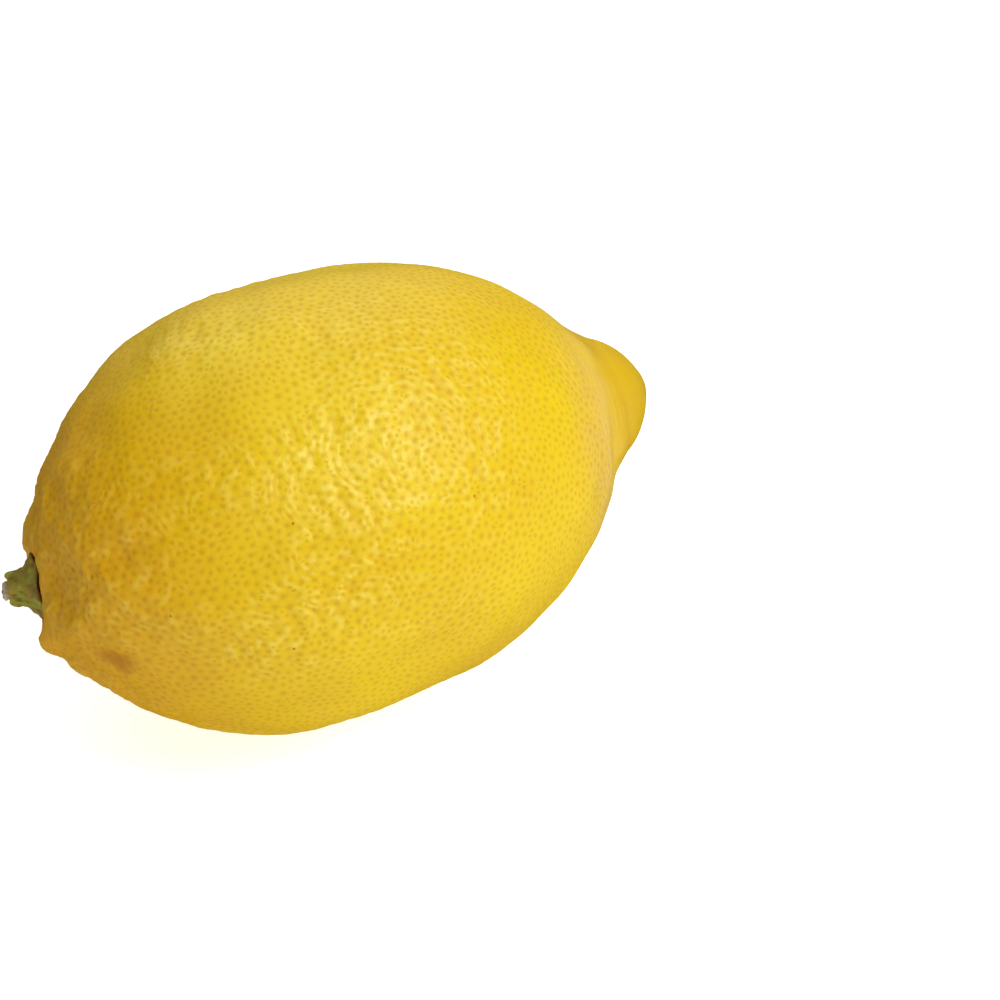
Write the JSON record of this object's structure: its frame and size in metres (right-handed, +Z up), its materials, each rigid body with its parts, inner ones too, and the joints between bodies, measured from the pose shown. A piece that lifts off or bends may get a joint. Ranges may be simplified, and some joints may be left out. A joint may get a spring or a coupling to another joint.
{
  "type": "lemon",
  "caption": "Whole lemon lying on its side on a small flat spot, with a blunt nipple at one end and a green button with a dry stem stub at the other.",
  "frame": {"origin": "on the flat spot that the fruit rests on, below its centre of weight", "axes": "+X along the fruit from the stem to the nipple, +Z up, +Y to the far side as the picture shows it"},
  "size_m": [0.0996, 0.0647, 0.0641],
  "materials": {
    "rind": "waxy yellow rind, dotted with small pores, soft shine",
    "calyx": "dry olive green, ridged",
    "stub": "dry grey-beige stem wood"
  },
  "bodies": {
    "root": {"rind": "rind", "calyx": "calyx", "stem_stub": "stub"}
  },
  "joints": []
}
